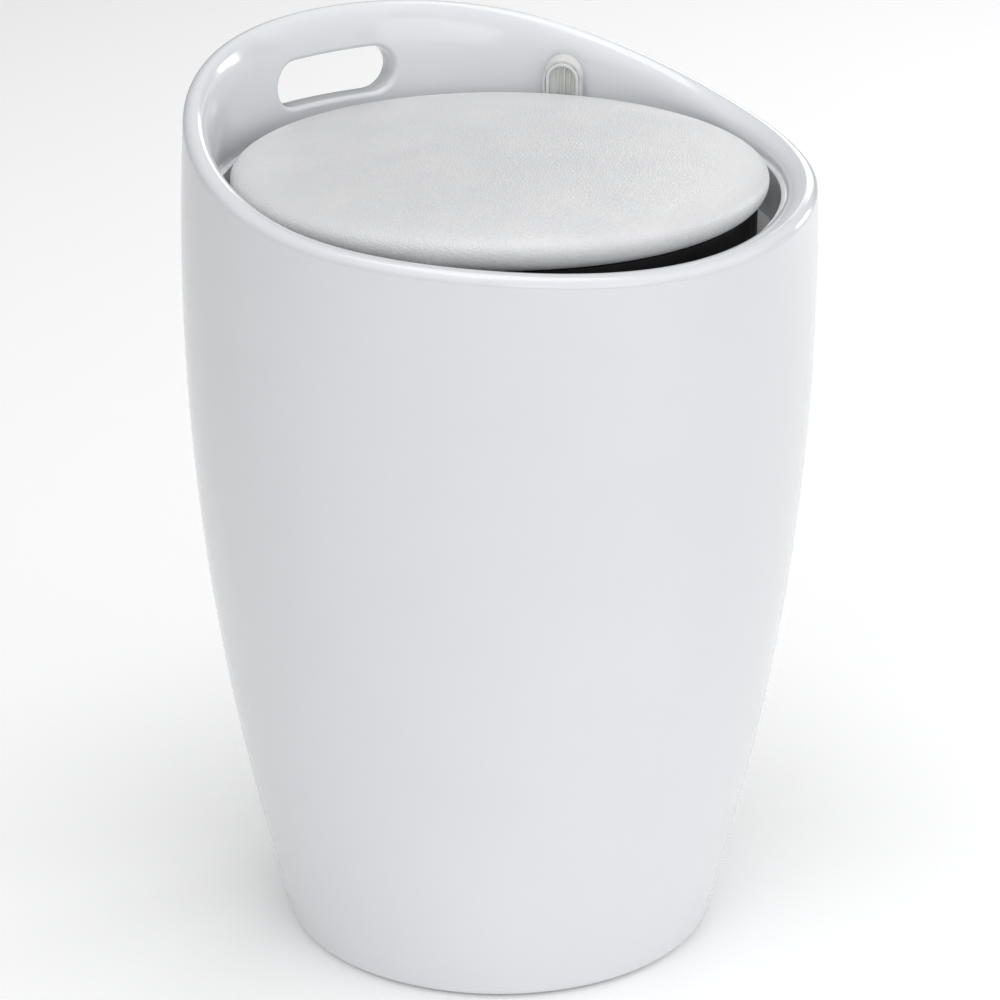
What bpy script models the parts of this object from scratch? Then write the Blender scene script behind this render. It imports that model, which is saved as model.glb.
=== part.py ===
"""Barrel-shaped laundry hamper with a padded seat lid, built piece by piece.

Metres, +Z up. The origin is on the floor under the middle of the hamper. The rim is lowest at the
front (-Y) and highest at the back (+Y), where the handle slot is. Angles called theta are measured
round the axis from the back, so that theta is 0 at +Y and pi at -Y.
"""

import math

import bmesh
import bpy

# ---------------------------------------------------------------- driving dimensions

HEIGHT = 0.505               # floor to the crest of the rim at the back
DIAMETER = 0.350             # at the widest ring of the barrel
BASE_DIAMETER = 0.243        # where the barrel's curve reaches the floor
WIDEST_BELOW_TOP = 0.120     # widest ring below the back crest

RIM_DROP_SIDE = 0.0485       # crest at the sides, below the back
RIM_DROP_FRONT = 0.069       # crest at the front, below the back
RIM_SHOULDER = 0.0018        # fullness of the rim curve between back, sides and front

WALL = 0.0135                # outside of the barrel to inside of the collar, at the back crest
SKIN = 0.003                 # thickness of each moulded shell
LIP_RADIUS = 0.0055          # outer roll of the lip
LIP_DROP = 0.012             # inner roll of the lip, crest to the straight inner wall
FIT_GAP = 0.0003             # hairline between pieces that touch

SLOT_WIDTH = 0.082           # handle slot, end to end
SLOT_HEIGHT = 0.027
SLOT_BELOW_TOP = 0.039       # slot centre below the back crest
SLOT_FLANGE = 0.002          # collar of material round the slot, between the two shells

STEP_BELOW_CREST = 0.007     # inner step below the crest where the rim is low
STEP_ABOVE_FRONT = 0.002     # the step's level ring above the front crest
STEP_WIDTH = 0.003
SHELF_BELOW_FRONT = 0.027    # seat shelf below the front crest
SHELF_WIDTH = 0.016
MOUTH_LIP = 0.016            # turned-down edge inside the shelf

BOTTOM_CLEARANCE = 0.0015    # barrel's bottom edge above the floor
BASE_FILLET = 0.006
BASE_FLANGE_Z = 0.010        # underside of the barrel's bottom flange
BASE_FLANGE_WIDTH = 0.026
BASE_PLATE_THICKNESS = 0.003
BASE_PLATE_CLEARANCE = 0.0015

FOOT_COUNT = 4
FOOT_RADIUS = 0.010
FOOT_CIRCLE_INSET = 0.026    # foot centre inside the base plate's edge
FOOT_STEM_RADIUS = 0.0026
FOOT_BULB_RADIUS = 0.0038

SCREW_SHANK_RADIUS = 0.0015
SCREW_HEAD_RADIUS = 0.0034
SCREW_HEAD_HEIGHT = 0.0020
SCREW_CLEARANCE = 0.0004     # round a shank in its hole
BASE_SCREW_COUNT = 4
BASE_BOSS_RADIUS = 0.0045
BASE_BOSS_HEIGHT = 0.012
LID_SCREW_COUNT = 6

HOOK_ANGLE = math.radians(-52)  # back hook, toward +X; the front hook is opposite it
HOOK_BELOW_CREST = 0.018     # top of the back hook below the crest above it
HOOK_ABOVE_SHELF = 0.003     # legs of the front hook above the shelf
HOOK_RADIUS = 0.0099
HOOK_LEG = 0.009
HOOK_PAST_LOOP = 0.0006      # front of a hook past the loop that hangs on it
HOOK_WALL = 0.002
HOOK_PEG_RADIUS = 0.0025
HOOK_PEG_TIP = 0.0005        # peg past its washer
WASHER_RADIUS = 0.0052
WASHER_THICKNESS = 0.001

LID_GAP = 0.0065             # cushion to the wall of its well
LID_CROWN = 0.020            # cushion above its widest ring
LID_DEPTH = 0.0125           # cushion below its widest ring
LID_BASE_THICKNESS = 0.002
LID_BASE_WALL = 0.002
LID_BASE_INSET = 0.006
LID_FOOT_HEIGHT = 0.020      # foot ring that carries the lid on the bag's hem
LID_SKIRT_DEPTH = 0.010      # locating skirt below the foot ring
LID_SKIRT_CLEARANCE = 0.003  # skirt to the inside of the bag's mouth
LID_BOARD_THICKNESS = 0.005
LID_BOARD_INSET = 0.008
COVER_THICKNESS = 0.0012
COVER_TUCK = 0.020           # cover turned in under the board
LID_SCREW_INSET = 0.035      # screw circle inside the lid's edge

FABRIC = 0.0010
HEM_THICKNESS = 0.0015
HEM_GAP = 0.006              # hem's edge to the wall of the well
BAG_CLEARANCE = 0.003        # bag to the mouth it lifts out through
BAG_BOTTOM_INSET = 0.0065
BAG_BOTTOM_Z = 0.030
TAPE = 0.0013                # thickness of the loops' tape

ROUND = 64                   # facets round the barrel
ROUND_SOFT = 48              # facets round the soft pieces
ROUND_SMALL = 10             # facets round screws, pegs and bosses

# ---------------------------------------------------------------- sizes that follow

R_MAX = DIAMETER / 2
R_BASE = BASE_DIAMETER / 2
Z_WIDE = HEIGHT - WIDEST_BELOW_TOP
RIM_BACK = HEIGHT
RIM_SIDE = HEIGHT - RIM_DROP_SIDE
RIM_FRONT = HEIGHT - RIM_DROP_FRONT
SLOT_Z = HEIGHT - SLOT_BELOW_TOP
STEP_Z = RIM_FRONT + STEP_ABOVE_FRONT
SHELF_Z = RIM_FRONT - SHELF_BELOW_FRONT


def outer_radius(z):
    """Radius of the barrel's outside at height z: a parabola, widest at Z_WIDE."""
    return R_MAX - (R_MAX - R_BASE) * ((z - Z_WIDE) / Z_WIDE) ** 2


def rim_height(theta):
    """Height of the rim's crest, a smooth wave through the back, side and front heights."""
    level = (RIM_BACK + RIM_FRONT + 2 * RIM_SIDE) / 4
    swing = (RIM_BACK - RIM_FRONT) / 2
    flat = (RIM_BACK + RIM_FRONT - 2 * RIM_SIDE) / 4
    shoulder = RIM_SHOULDER * (1 - math.cos(4 * theta))
    return level + swing * math.cos(theta) + flat * math.cos(2 * theta) + shoulder


def step_height(theta):
    """Height of the inner step: level, but dipping at the front to stay under the lip."""
    low = rim_height(theta) - STEP_BELOW_CREST
    softness = 0.0015
    return -softness * math.log(math.exp(-low / softness) + math.exp(-STEP_Z / softness))


INNER_WALL_R = outer_radius(RIM_BACK - LIP_RADIUS) - WALL
WELL_R = INNER_WALL_R - STEP_WIDTH
MOUTH_R = WELL_R - SHELF_WIDTH
LID_R = WELL_R - LID_GAP
BAG_TOP_R = MOUTH_R - BAG_CLEARANCE
BAG_BOTTOM_R = R_BASE - BAG_BOTTOM_INSET
HEM_OUTER_R = WELL_R - HEM_GAP

HEM_BOTTOM = SHELF_Z + FIT_GAP
HEM_TOP = HEM_BOTTOM + HEM_THICKNESS
LID_FOOT_BOTTOM = HEM_TOP + FIT_GAP
LID_BASE_BOTTOM = LID_FOOT_BOTTOM + LID_FOOT_HEIGHT
LID_BASE_TOP = LID_BASE_BOTTOM + LID_BASE_THICKNESS
TUCK_BOTTOM = LID_BASE_TOP + FIT_GAP
BOARD_BOTTOM = TUCK_BOTTOM + COVER_THICKNESS + FIT_GAP
BOARD_TOP = BOARD_BOTTOM + LID_BOARD_THICKNESS
FOAM_BOTTOM = BOARD_TOP + FIT_GAP
LID_WIDE_Z = TUCK_BOTTOM + LID_DEPTH
LID_TOP = LID_WIDE_Z + LID_CROWN
LID_SCREW_R = LID_R - LID_SCREW_INSET

BASE_PLATE_TOP = BASE_FLANGE_Z - FIT_GAP
BASE_PLATE_BOTTOM = BASE_PLATE_TOP - BASE_PLATE_THICKNESS
BASE_PLATE_R = outer_radius(BASE_PLATE_BOTTOM) - BASE_FILLET - BASE_PLATE_CLEARANCE
BASE_FLANGE_R = outer_radius(BASE_FLANGE_Z) - BASE_FLANGE_WIDTH
BASE_SCREW_R = (BASE_PLATE_R + BASE_FLANGE_R) / 2
FOOT_CIRCLE_R = BASE_PLATE_R - FOOT_CIRCLE_INSET


def flat_inside(radius, half_width):
    """How far out a flat face of that half width reaches inside a faceted round wall."""
    facet_r = radius * math.cos(math.pi / ROUND) - FIT_GAP
    return math.sqrt(facet_r ** 2 - half_width ** 2)


LOOP_RADIUS = HOOK_RADIUS + FIT_GAP + TAPE
LOOP_NEAR_R = HEM_OUTER_R + FIT_GAP
LOOP_FAR_R = flat_inside(WELL_R, LOOP_RADIUS)
HOOK_FRONT_R = LOOP_NEAR_R - HOOK_PAST_LOOP
HOOKS = {
    # name: direction, middle of the arch, the wall it is fixed to
    "back": (HOOK_ANGLE, rim_height(HOOK_ANGLE) - HOOK_BELOW_CREST - HOOK_RADIUS, INNER_WALL_R),
    "front": (HOOK_ANGLE + math.pi, SHELF_Z + HOOK_ABOVE_SHELF + HOOK_LEG, WELL_R),
}

# ---------------------------------------------------------------- materials

MATERIALS = {
    # name: colour, roughness, metallic
    "shell_plastic": ((0.80, 0.81, 0.83), 0.18, 0.0),
    "base_plastic": ((0.10, 0.10, 0.11), 0.45, 0.0),
    "foot_rubber": ((0.03, 0.03, 0.03), 0.80, 0.0),
    "screw_steel": ((0.60, 0.60, 0.62), 0.30, 1.0),
    "hook_plastic": ((0.78, 0.79, 0.80), 0.25, 0.0),
    "bag_cloth": ((0.74, 0.74, 0.72), 0.90, 0.0),
    "bag_tape": ((0.66, 0.66, 0.64), 0.85, 0.0),
    "seat_leather": ((0.80, 0.80, 0.80), 0.42, 0.0),
    "seat_foam": ((0.86, 0.82, 0.62), 0.95, 0.0),
    "seat_board": ((0.62, 0.46, 0.29), 0.70, 0.0),
}


def material(name):
    found = bpy.data.materials.get(name)
    if found:
        return found
    colour, roughness, metallic = MATERIALS[name]
    made = bpy.data.materials.new(name)
    made.use_nodes = True
    shader = made.node_tree.nodes["Principled BSDF"]
    shader.inputs["Base Color"].default_value = (*colour, 1)
    shader.inputs["Roughness"].default_value = roughness
    shader.inputs["Metallic"].default_value = metallic
    made.diffuse_color = (*colour, 1)
    return made


# ---------------------------------------------------------------- building blocks


def at(theta, radius, z):
    """Point at an angle from the back, a radius and a height."""
    return (-radius * math.sin(theta), radius * math.cos(theta), z)


def add_object(name, verts, faces, material_name=None):
    """Makes a mesh object with its faces turned outwards. One with no material is a cutter."""
    mesh = bpy.data.meshes.new(name)
    mesh.from_pydata(verts, [], faces)
    shape = bmesh.new()
    shape.from_mesh(mesh)
    bmesh.ops.recalc_face_normals(shape, faces=shape.faces)
    shape.to_mesh(mesh)
    shape.free()
    mesh.shade_smooth()
    mesh.set_sharp_from_angle(angle=math.radians(35))
    made = bpy.data.objects.new(name, mesh)
    bpy.context.scene.collection.objects.link(made)
    if material_name:
        mesh.materials.append(material(material_name))
    else:
        made.hide_render = True
        made.display_type = "WIRE"
    return made


def ring(name, section, material_name=None, count=ROUND):
    """A ring whose closed cross-section section(theta) is a list of (radius, height)."""
    rows = []
    verts = []
    for j in range(count):
        theta = 2 * math.pi * j / count
        points = [at(theta, r, z) for r, z in section(theta)]
        rows.append(range(len(verts), len(verts) + len(points)))
        verts += points
    faces = []
    for j in range(count):
        a, b = rows[j], rows[(j + 1) % count]
        n = len(a)
        faces += [(a[i], a[(i + 1) % n], b[(i + 1) % n], b[i]) for i in range(n)]
    return add_object(name, verts, faces, material_name)


def turned(name, profile, material_name=None, count=ROUND, centre=(0, 0)):
    """A solid turned about a vertical axis; profile runs from the axis out and back to the axis."""
    cx, cy = centre
    low, high = profile[0], profile[-1]
    verts = [(cx, cy, low[1]), (cx, cy, high[1])]
    rows = []
    for j in range(count):
        theta = 2 * math.pi * j / count
        rows.append(range(len(verts), len(verts) + len(profile) - 2))
        for r, z in profile[1:-1]:
            x, y, z = at(theta, r, z)
            verts.append((cx + x, cy + y, z))
    faces = []
    for j in range(count):
        a, b = rows[j], rows[(j + 1) % count]
        faces.append((0, a[0], b[0]))
        faces += [(a[i], a[i + 1], b[i + 1], b[i]) for i in range(len(a) - 1)]
        faces.append((1, b[-1], a[-1]))
    return add_object(name, verts, faces, material_name)


def cylinders(name, centres, radius, low, high, count=ROUND_SMALL):
    """Upright cylinders in one mesh, to cut or to join."""
    verts = []
    faces = []
    for cx, cy in centres:
        first = len(verts)
        for z in (low, high):
            for j in range(count):
                x, y, z = at(2 * math.pi * j / count, radius, z)
                verts.append((cx + x, cy + y, z))
        bottom = list(range(first, first + count))
        top = [i + count for i in bottom]
        faces.append(tuple(bottom))
        faces.append(tuple(reversed(top)))
        for j in range(count):
            k = (j + 1) % count
            faces.append((bottom[j], top[j], top[k], bottom[k]))
    return add_object(name, verts, faces)


def boolean(target, other, operation):
    step = target.modifiers.new(f"{operation.lower()}_{other.name}", "BOOLEAN")
    step.operation = operation
    step.solver = "EXACT"
    step.object = other


def circle_of(count, radius, turn=0.0):
    """Centres of count pieces spaced evenly on a circle."""
    angles = [turn + 2 * math.pi * k / count for k in range(count)]
    return [at(a, radius, 0)[:2] for a in angles]


def arc(cx, cy, radius, start, end, steps):
    """Points on an arc, both ends included, angles in degrees."""
    angles = [math.radians(start + (end - start) * k / steps) for k in range(steps + 1)]
    return [(cx + radius * math.cos(a), cy + radius * math.sin(a)) for a in angles]


def spread(low, high, steps):
    return [low + (high - low) * k / steps for k in range(steps + 1)]


# ---------------------------------------------------------------- the two shells


def stadium(grow):
    """Outline of the handle slot in the x-z plane, grown by a margin."""
    half_height = SLOT_HEIGHT / 2 + grow
    straight = (SLOT_WIDTH - SLOT_HEIGHT) / 2
    right = arc(straight, SLOT_Z, half_height, -90, 90, 8)
    left = arc(-straight, SLOT_Z, half_height, 90, 270, 8)
    return right + left


def slot_cutter():
    outline = stadium(0)
    n = len(outline)
    near, far = INNER_WALL_R * 0.8, R_MAX * 1.1
    verts = [(x, near, z) for x, z in outline] + [(x, far, z) for x, z in outline]
    faces = [tuple(range(n)), tuple(range(2 * n - 1, n - 1, -1))]
    faces += [(i, n + i, n + (i + 1) % n, (i + 1) % n) for i in range(n)]
    return add_object("cut_handle_slot", verts, faces)


def middle_radius(z):
    """Radius of the surface where the flanges of the two shells meet round the slot."""
    return (outer_radius(z) + INNER_WALL_R) / 2


def slot_flange(name, near, far):
    """Frame round the slot between two surfaces, each given as a radius for a height."""
    overlap = 0.001
    inner, outer = stadium(-overlap), stadium(SLOT_FLANGE)
    n = len(inner)
    verts = []
    for outline, radius in ((inner, near), (outer, near), (outer, far), (inner, far)):
        for x, z in outline:
            verts.append((x, math.sqrt(radius(z) ** 2 - x * x), z))
    faces = []
    for k in range(4):
        a, b = k * n, ((k + 1) % 4) * n
        faces += [(a + i, b + i, b + (i + 1) % n, a + (i + 1) % n) for i in range(n)]
    return add_object(name, verts, faces)


def outer_section(theta):
    """Cross-section of the barrel: outside up, inside down, bottom flange and skirt."""
    top = rim_height(theta) - LIP_RADIUS - FIT_GAP
    foot = BOTTOM_CLEARANCE + BASE_FILLET
    outside = arc(outer_radius(foot) - BASE_FILLET, foot, BASE_FILLET, -90, 0, 3)
    outside += [(outer_radius(z), z) for z in spread(foot, top, 9)[1:]]
    flange_top = BASE_FLANGE_Z + SKIN
    inside = [(outer_radius(z) - SKIN, z) for z in spread(top, flange_top, 6)]
    flange = [(BASE_FLANGE_R, flange_top), (BASE_FLANGE_R, BASE_FLANGE_Z)]
    skirt_r = outer_radius(foot) - BASE_FILLET
    return outside + inside + flange + [(skirt_r, BASE_FLANGE_Z)]


def build_outer_shell():
    shell = ring("outer_shell", outer_section, "shell_plastic")

    def near(z):
        return middle_radius(z) + FIT_GAP / 2

    def far(z):
        return outer_radius(z) - SKIN / 2

    boolean(shell, slot_flange("join_outer_slot_flange", near, far), "UNION")
    boolean(shell, slot_cutter(), "DIFFERENCE")
    centres = circle_of(BASE_SCREW_COUNT, BASE_SCREW_R, math.pi / 4)
    boss_top = BASE_FLANGE_Z + SKIN + BASE_BOSS_HEIGHT
    bosses = cylinders("join_base_bosses", centres, BASE_BOSS_RADIUS, BASE_FLANGE_Z + SKIN / 2, boss_top)
    boolean(shell, bosses, "UNION")
    hole = SCREW_SHANK_RADIUS + SCREW_CLEARANCE
    pilots = cylinders("cut_base_pilots", centres, hole, 0, boss_top + SKIN)
    boolean(shell, pilots, "DIFFERENCE")
    return shell


def lip_curve(theta, depth, steps):
    """The lip from its outer edge over the crest to the inner wall, at a depth under its surface."""
    crest = rim_height(theta)
    roll_z = crest - LIP_RADIUS
    roll_r = outer_radius(roll_z) - LIP_RADIUS
    drop = min(LIP_DROP, crest - step_height(theta) - FIT_GAP)
    points = arc(roll_r, roll_z, LIP_RADIUS - depth, 0, 90, steps)
    across = roll_r - INNER_WALL_R - depth
    for k in range(1, 2 * steps + 1):
        angle = math.pi / 2 * k / (2 * steps)
        z = crest - depth - (drop - depth) * (1 - math.cos(angle))
        points.append((roll_r - across * math.sin(angle), z))
    return points


def collar_section(theta):
    """Cross-section of the collar: rolled lip, inner wall, step, well, shelf and turned-down mouth."""
    step = step_height(theta)
    round_off = 0.0008
    ledge = [(INNER_WALL_R, step), (WELL_R + round_off, step), (WELL_R, step - round_off)]
    well = [(WELL_R, SHELF_Z), (MOUTH_R + round_off, SHELF_Z), (MOUTH_R, SHELF_Z - round_off)]
    mouth_low = SHELF_Z - MOUTH_LIP
    mouth = [(MOUTH_R, mouth_low), (MOUTH_R + SKIN, mouth_low), (MOUTH_R + SKIN, SHELF_Z - SKIN)]
    back = [(WELL_R + SKIN, SHELF_Z - SKIN), (WELL_R + SKIN, step - SKIN)]
    back += [(INNER_WALL_R + SKIN, step - SKIN)]
    under = list(reversed(lip_curve(theta, SKIN, 2)))
    return lip_curve(theta, 0, 3) + ledge + well + mouth + back + under


def hook_point(theta, radius, sideways, z):
    """Point at a hook: distance from the axis along its middle, offset along the wall, height."""
    x, y, z = at(theta, radius, z)
    return (x + sideways * math.cos(theta), y + sideways * math.sin(theta), z)


def hook_bar(name, theta, outline, near, far, material_name=None):
    """A prism across the wall: outline is (sideways, height) and it spans two distances from the axis."""
    n = len(outline)
    verts = [hook_point(theta, near, s, z) for s, z in outline]
    verts += [hook_point(theta, far, s, z) for s, z in outline]
    faces = [tuple(range(n)), tuple(range(2 * n - 1, n - 1, -1))]
    faces += [(i, n + i, n + (i + 1) % n, (i + 1) % n) for i in range(n)]
    return add_object(name, verts, faces, material_name)


def round_outline(radius, z):
    return arc(0, z, radius, 0, 360, ROUND_SMALL)[:-1]


def build_rim_collar():
    collar = ring("rim_collar", collar_section, "shell_plastic")

    def near(z):
        return INNER_WALL_R + SKIN / 2

    def far(z):
        return middle_radius(z) - FIT_GAP / 2

    boolean(collar, slot_flange("join_inner_slot_flange", near, far), "UNION")
    boolean(collar, bpy.data.objects["cut_handle_slot"], "DIFFERENCE")
    for place, (theta, middle, wall) in HOOKS.items():
        outline = round_outline(HOOK_PEG_RADIUS + FIT_GAP, middle)
        hole = hook_bar(f"cut_peg_hole_{place}", theta, outline, HOOK_FRONT_R, wall + 2 * SKIN)
        boolean(collar, hole, "DIFFERENCE")
    return collar


# ---------------------------------------------------------------- base, feet and hooks


def build_base_plate():
    profile = [(0, BASE_PLATE_BOTTOM), (BASE_PLATE_R, BASE_PLATE_BOTTOM), (BASE_PLATE_R, BASE_PLATE_TOP)]
    plate = turned("base_plate", profile + [(0, BASE_PLATE_TOP)], "base_plastic")
    low, high = 0, BASE_FLANGE_Z + SKIN
    screws = circle_of(BASE_SCREW_COUNT, BASE_SCREW_R, math.pi / 4)
    shank_hole = SCREW_SHANK_RADIUS + SCREW_CLEARANCE
    boolean(plate, cylinders("cut_base_screw_holes", screws, shank_hole, low, high), "DIFFERENCE")
    stems = circle_of(FOOT_COUNT, FOOT_CIRCLE_R)
    stem_hole = FOOT_STEM_RADIUS + FIT_GAP
    boolean(plate, cylinders("cut_foot_stem_holes", stems, stem_hole, low, high), "DIFFERENCE")
    return plate


def build_foot(number, centre):
    """Push-in rubber foot: a pad under the plate, a stem through it and a bulb that holds it."""
    pad_top = BASE_PLATE_BOTTOM - FIT_GAP
    bulb_low = BASE_PLATE_TOP + FIT_GAP
    edge = 0.0012
    profile = [
        (0, 0),
        (FOOT_RADIUS - edge, 0),
        (FOOT_RADIUS, edge),
        (FOOT_RADIUS, pad_top),
        (FOOT_STEM_RADIUS, pad_top),
        (FOOT_STEM_RADIUS, bulb_low),
        (FOOT_BULB_RADIUS, bulb_low + edge),
        (FOOT_STEM_RADIUS / 2, bulb_low + 3 * edge),
        (0, bulb_low + 3 * edge),
    ]
    return turned(f"foot_{number}", profile, "foot_rubber", 16, centre)


def build_screw(name, centre, under_head, tip):
    """Pan-head screw standing on its head: under_head is the seat of the head."""
    low = under_head - SCREW_HEAD_HEIGHT
    profile = [
        (0, low),
        (SCREW_HEAD_RADIUS * 0.7, low),
        (SCREW_HEAD_RADIUS, low + SCREW_HEAD_HEIGHT * 0.5),
        (SCREW_HEAD_RADIUS, under_head),
        (SCREW_SHANK_RADIUS, under_head),
        (SCREW_SHANK_RADIUS, tip - SCREW_SHANK_RADIUS),
        (0, tip),
    ]
    return turned(name, profile, "screw_steel", ROUND_SMALL, centre)


def arch_outline(radius, thickness, middle, low):
    """Outline of an arch: up one leg, over the top and down, then back inside."""
    inner = radius - thickness
    outside = [(radius, low)] + arc(0, middle, radius, 0, 180, 10) + [(-radius, low)]
    inside = [(-inner, low)] + arc(0, middle, inner, 180, 0, 10) + [(inner, low)]
    return outside + inside


def build_hook(place):
    """Arched hook with a middle rib and a peg that passes through the collar's wall."""
    theta, middle, wall = HOOKS[place]
    low = middle - HOOK_LEG
    back = flat_inside(wall, HOOK_RADIUS)
    outline = arch_outline(HOOK_RADIUS, HOOK_WALL, middle, low)
    hook = hook_bar(f"hook_{place}", theta, outline, HOOK_FRONT_R, back, "hook_plastic")
    rib_top = middle + HOOK_RADIUS - HOOK_WALL / 2
    half = HOOK_WALL / 2
    rib_outline = [(half, low), (half, rib_top), (-half, rib_top), (-half, low)]
    rib = hook_bar(f"join_rib_{place}", theta, rib_outline, HOOK_FRONT_R + HOOK_WALL, back - FIT_GAP)
    boolean(hook, rib, "UNION")
    peg_end = wall + SKIN + FIT_GAP + WASHER_THICKNESS + HOOK_PEG_TIP
    peg_outline = round_outline(HOOK_PEG_RADIUS, middle)
    peg = hook_bar(f"join_peg_{place}", theta, peg_outline, HOOK_FRONT_R + HOOK_WALL / 2, peg_end)
    boolean(hook, peg, "UNION")
    return hook


def build_hook_washer(place):
    """Push-on washer that grips the peg in the space between the two shells."""
    theta, middle, wall = HOOKS[place]
    near = wall + SKIN + FIT_GAP
    far = near + WASHER_THICKNESS
    outline = round_outline(WASHER_RADIUS, middle)
    washer = hook_bar(f"hook_washer_{place}", theta, outline, near, far, "screw_steel")
    hole = round_outline(HOOK_PEG_RADIUS + FIT_GAP / 2, middle)
    boolean(washer, hook_bar(f"cut_washer_{place}", theta, hole, near - SKIN, near + SKIN), "DIFFERENCE")
    return washer


# ---------------------------------------------------------------- laundry bag


def build_bag_wall():
    """Fabric tube that tapers from the mouth to the bottom, filling the space it lifts out through."""
    top = HEM_BOTTOM - 2 * FIT_GAP

    def radius(z):
        share = (z - BAG_BOTTOM_Z) / (top - BAG_BOTTOM_Z)
        return BAG_BOTTOM_R + (BAG_TOP_R - BAG_BOTTOM_R) * share

    def section(theta):
        heights = spread(BAG_BOTTOM_Z, top, 4)
        outside = [(radius(z), z) for z in heights]
        inside = [(radius(z) - FABRIC, z) for z in reversed(heights)]
        return outside + inside

    return ring("bag_wall", section, "bag_cloth", ROUND_SOFT)


def build_bag_bottom():
    radius = (BAG_BOTTOM_R - FABRIC) * math.cos(math.pi / ROUND_SOFT) - FIT_GAP
    low = BAG_BOTTOM_Z
    profile = [(0, low), (radius, low), (radius, low + FABRIC), (0, low + FABRIC)]
    return turned("bag_bottom", profile, "bag_cloth", ROUND_SOFT)


def build_bag_hem():
    """Flat stiffened hem that lies on the collar's shelf and carries the bag."""
    inner, outer = BAG_TOP_R - FABRIC, HEM_OUTER_R
    edge = 0.0005

    def section(theta):
        return [
            (inner, HEM_BOTTOM),
            (outer - edge, HEM_BOTTOM),
            (outer, HEM_BOTTOM + edge),
            (outer, HEM_TOP - edge),
            (outer - edge, HEM_TOP),
            (inner, HEM_TOP),
        ]

    return ring("bag_hem", section, "bag_tape", ROUND_SOFT)


def build_bag_loop(place):
    """Tape loop over a hook. Its legs stand on the shelf just outside the hem they are sewn to."""
    theta, middle, _ = HOOKS[place]
    outline = arch_outline(LOOP_RADIUS, TAPE, middle, SHELF_Z + FIT_GAP)
    return hook_bar(f"bag_loop_{place}", theta, outline, LOOP_NEAR_R, LOOP_FAR_R, "bag_tape")


# ---------------------------------------------------------------- seat lid


def crown(shrink):
    """Half outline of the cushion from the top of its middle to its widest ring, then under."""
    radius = LID_R - shrink
    rise = LID_CROWN - shrink
    points = []
    for share in (0, 0.25, 0.5, 0.68, 0.82, 0.92, 0.975):
        height = rise * (1 - share ** 2.4) ** 0.6
        points.append((radius * share, LID_WIDE_Z + height))
    return points + [(radius, LID_WIDE_Z)]


def build_lid_cover():
    """Faux-leather cover: over the foam, round the edge and turned in under the board."""
    under_r = LID_R - LID_BASE_INSET
    belly_z = LID_WIDE_Z - LID_DEPTH * 0.45
    belly_r = LID_R - 0.0012
    tuck_top = TUCK_BOTTOM + COVER_THICKNESS
    outside = [(under_r - COVER_TUCK, TUCK_BOTTOM), (under_r - 0.002, TUCK_BOTTOM)]
    outside += [(under_r, TUCK_BOTTOM + 0.0015), (belly_r, belly_z)]
    outside += list(reversed(crown(0)))
    inside = crown(COVER_THICKNESS) + [(belly_r - COVER_THICKNESS, belly_z)]
    inside += [(under_r - COVER_THICKNESS, TUCK_BOTTOM + 0.0025), (under_r - 0.0025, tuck_top)]
    inside += [(under_r - COVER_TUCK, tuck_top)]
    return turned("lid_cover", inside + outside, "seat_leather", ROUND_SOFT)


def build_lid_foam():
    """Foam pad: crowned on top, flat where it is glued to the board."""
    inset = COVER_THICKNESS + FIT_GAP
    top = crown(inset)
    board_r = LID_R - LID_BOARD_INSET
    profile = [(0, FOAM_BOTTOM), (board_r, FOAM_BOTTOM)]
    profile += [(LID_R - inset - 0.0012, LID_WIDE_Z - LID_DEPTH * 0.38)]
    profile += list(reversed(top))
    return turned("lid_foam", profile, "seat_foam", ROUND_SOFT)


def build_lid_board():
    radius = LID_R - LID_BOARD_INSET - COVER_THICKNESS
    profile = [(0, BOARD_BOTTOM), (radius, BOARD_BOTTOM), (radius, BOARD_TOP), (0, BOARD_TOP)]
    board = turned("lid_board", profile, "seat_board", ROUND_SOFT)
    centres = circle_of(LID_SCREW_COUNT, LID_SCREW_R)
    depth = BOARD_TOP - FIT_GAP * 2
    hole = SCREW_SHANK_RADIUS + SCREW_CLEARANCE
    boolean(board, cylinders("cut_board_pilots", centres, hole, LID_BASE_BOTTOM, depth), "DIFFERENCE")
    return board


def build_lid_base():
    """Plastic base under the board: a foot ring lies on the hem, and a skirt finds the bag's mouth."""
    radius = LID_R - LID_BASE_INSET
    skirt_r = BAG_TOP_R - FABRIC - LID_SKIRT_CLEARANCE
    skirt_low = LID_FOOT_BOTTOM - LID_SKIRT_DEPTH
    profile = [
        (0, LID_BASE_BOTTOM),
        (skirt_r - LID_BASE_WALL, LID_BASE_BOTTOM),
        (skirt_r - LID_BASE_WALL, skirt_low),
        (skirt_r, skirt_low),
        (skirt_r, LID_BASE_BOTTOM),
        (radius - LID_BASE_WALL, LID_BASE_BOTTOM),
        (radius - LID_BASE_WALL, LID_FOOT_BOTTOM),
        (radius, LID_FOOT_BOTTOM),
        (radius, LID_BASE_TOP),
        (0, LID_BASE_TOP),
    ]
    plate = turned("lid_base", profile, "base_plastic", ROUND_SOFT)
    centres = circle_of(LID_SCREW_COUNT, LID_SCREW_R)
    hole = SCREW_SHANK_RADIUS + SCREW_CLEARANCE
    holes = cylinders("cut_lid_screw_holes", centres, hole, skirt_low, BOARD_BOTTOM)
    boolean(plate, holes, "DIFFERENCE")
    return plate


# ---------------------------------------------------------------- assembly


def clear_scene():
    for old in list(bpy.data.objects):
        bpy.data.objects.remove(old)


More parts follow.
